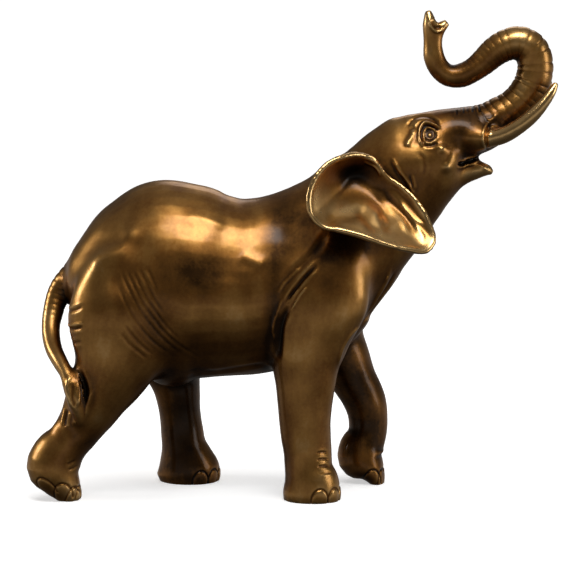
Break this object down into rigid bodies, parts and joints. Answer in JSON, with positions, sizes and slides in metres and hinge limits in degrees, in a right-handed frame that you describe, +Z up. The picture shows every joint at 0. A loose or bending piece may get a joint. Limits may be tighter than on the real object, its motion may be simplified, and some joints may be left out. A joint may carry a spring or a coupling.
{
  "type": "elephant statue",
  "caption": "Cast bronze elephant figure, striding with its head raised and its trunk curled up over its forehead; stands on its own feet.",
  "frame": {"origin": "centre of the figure's extents at the level of its soles", "axes": "+X the way the elephant faces, +Z up, +Y toward its left side"},
  "size_m": [0.3912, 0.1304, 0.3601],
  "materials": {
    "aged_bronze": "aged golden-brown bronze, polished bright on the crests and nearly black in the hollows"
  },
  "bodies": {
    "root": {"elephant": "aged_bronze"}
  },
  "joints": []
}
